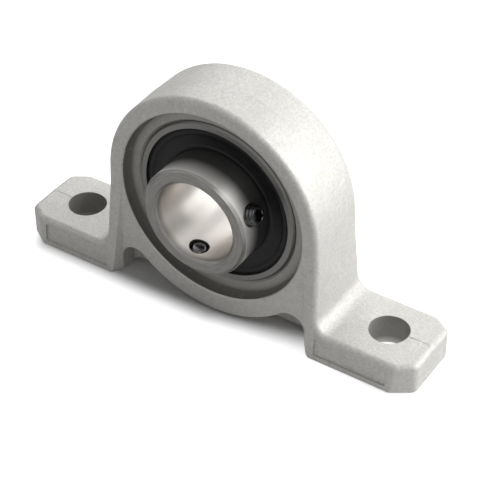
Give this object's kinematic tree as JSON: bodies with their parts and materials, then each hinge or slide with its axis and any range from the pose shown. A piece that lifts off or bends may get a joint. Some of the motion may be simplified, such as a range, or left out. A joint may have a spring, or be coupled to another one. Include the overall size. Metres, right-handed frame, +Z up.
{
  "type": "pillow block bearing",
  "caption": "Miniature pillow block: a cast housing with two bolt-down feet holds a self-aligning sealed ball bearing insert, locked to the shaft by set screws.",
  "frame": {"origin": "on the underside of the feet, midway between the two bolt holes", "axes": "X along the base from foot to foot, +Y from the set-screw side (the front) to the back, +Z up"},
  "size_m": [0.0796, 0.019, 0.043],
  "materials": {
    "zinc_casting": "as cast, tumbled, fine satin grain",
    "ring_steel": "ground satin",
    "ball_steel": "polished",
    "cage_steel": "pressed strip, satin",
    "washer_steel": "bare strip, satin",
    "seal_rubber": "moulded, slight sheen",
    "screw_steel": "black oxide"
  },
  "bodies": {
    "block": {"housing": "zinc_casting"},
    "insert": {"outer_ring": "ring_steel", "seal_lip_front": "seal_rubber", "seal_core_front": "washer_steel", "seal_lip_rear": "seal_rubber", "seal_core_rear": "washer_steel"},
    "shaft_ring": {"inner_ring": "ring_steel"},
    "cage": {"cage_front": "cage_steel", "cage_rear": "cage_steel", "cage_rivets": "cage_steel"},
    "upper_screw": {"set_screw_upper": "screw_steel"},
    "lower_screw": {"set_screw_lower": "screw_steel"},
    "rolling_ball_1": {"ball_1": "ball_steel"},
    "rolling_ball_2": {"ball_2": "ball_steel"},
    "rolling_ball_3": {"ball_3": "ball_steel"},
    "rolling_ball_4": {"ball_4": "ball_steel"},
    "rolling_ball_5": {"ball_5": "ball_steel"},
    "rolling_ball_6": {"ball_6": "ball_steel"},
    "rolling_ball_7": {"ball_7": "ball_steel"},
    "rolling_ball_8": {"ball_8": "ball_steel"},
    "rolling_ball_9": {"ball_9": "ball_steel"}
  },
  "joints": [
    {"name": "self_align", "type": "hinge", "parent": "block", "child": "insert", "pos_m": [0, 0, 0.022], "axis": [1, 0, 0], "range_deg": [-3, 3]},
    {"name": "shaft_spin", "type": "hinge", "parent": "insert", "child": "shaft_ring", "pos_m": [0, 0, 0.022], "axis": [0, 1, 0], "continuous": true},
    {"name": "cage_spin", "type": "hinge", "parent": "insert", "child": "cage", "pos_m": [0, 0, 0.022], "axis": [0, 1, 0], "continuous": true},
    {"name": "upper_screw_travel", "type": "slide", "parent": "shaft_ring", "child": "upper_screw", "axis": [0.9304, 0, 0.3665], "range_m": [-0.0011, 0.0003]},
    {"name": "lower_screw_travel", "type": "slide", "parent": "shaft_ring", "child": "lower_screw", "axis": [-0.1478, 0, -0.989], "range_m": [-0.0001, 0.0013]},
    {"name": "ball_1_spin", "type": "hinge", "parent": "cage", "child": "rolling_ball_1", "pos_m": [0.0116, 0, 0.022], "axis": [0, 1, 0], "continuous": true},
    {"name": "ball_2_spin", "type": "hinge", "parent": "cage", "child": "rolling_ball_2", "pos_m": [0.00889, 0, 0.02946], "axis": [0, 1, 0], "continuous": true},
    {"name": "ball_3_spin", "type": "hinge", "parent": "cage", "child": "rolling_ball_3", "pos_m": [0.00201, 0, 0.03342], "axis": [0, 1, 0], "continuous": true},
    {"name": "ball_4_spin", "type": "hinge", "parent": "cage", "child": "rolling_ball_4", "pos_m": [-0.0058, 0, 0.03205], "axis": [0, 1, 0], "continuous": true},
    {"name": "ball_5_spin", "type": "hinge", "parent": "cage", "child": "rolling_ball_5", "pos_m": [-0.0109, 0, 0.02597], "axis": [0, 1, 0], "continuous": true},
    {"name": "ball_6_spin", "type": "hinge", "parent": "cage", "child": "rolling_ball_6", "pos_m": [-0.0109, 0, 0.01803], "axis": [0, 1, 0], "continuous": true},
    {"name": "ball_7_spin", "type": "hinge", "parent": "cage", "child": "rolling_ball_7", "pos_m": [-0.0058, 0, 0.01195], "axis": [0, 1, 0], "continuous": true},
    {"name": "ball_8_spin", "type": "hinge", "parent": "cage", "child": "rolling_ball_8", "pos_m": [0.00201, 0, 0.01058], "axis": [0, 1, 0], "continuous": true},
    {"name": "ball_9_spin", "type": "hinge", "parent": "cage", "child": "rolling_ball_9", "pos_m": [0.00889, 0, 0.01454], "axis": [0, 1, 0], "continuous": true}
  ],
  "couplings": [
    {"joint": "cage_spin", "follows": "shaft_spin", "ratio": 0.39737},
    {"joint": "ball_1_spin", "follows": "shaft_spin", "ratio": -2.3333},
    {"joint": "ball_2_spin", "follows": "shaft_spin", "ratio": -2.3333},
    {"joint": "ball_3_spin", "follows": "shaft_spin", "ratio": -2.3333},
    {"joint": "ball_4_spin", "follows": "shaft_spin", "ratio": -2.3333},
    {"joint": "ball_5_spin", "follows": "shaft_spin", "ratio": -2.3333},
    {"joint": "ball_6_spin", "follows": "shaft_spin", "ratio": -2.3333},
    {"joint": "ball_7_spin", "follows": "shaft_spin", "ratio": -2.3333},
    {"joint": "ball_8_spin", "follows": "shaft_spin", "ratio": -2.3333},
    {"joint": "ball_9_spin", "follows": "shaft_spin", "ratio": -2.3333}
  ]
}
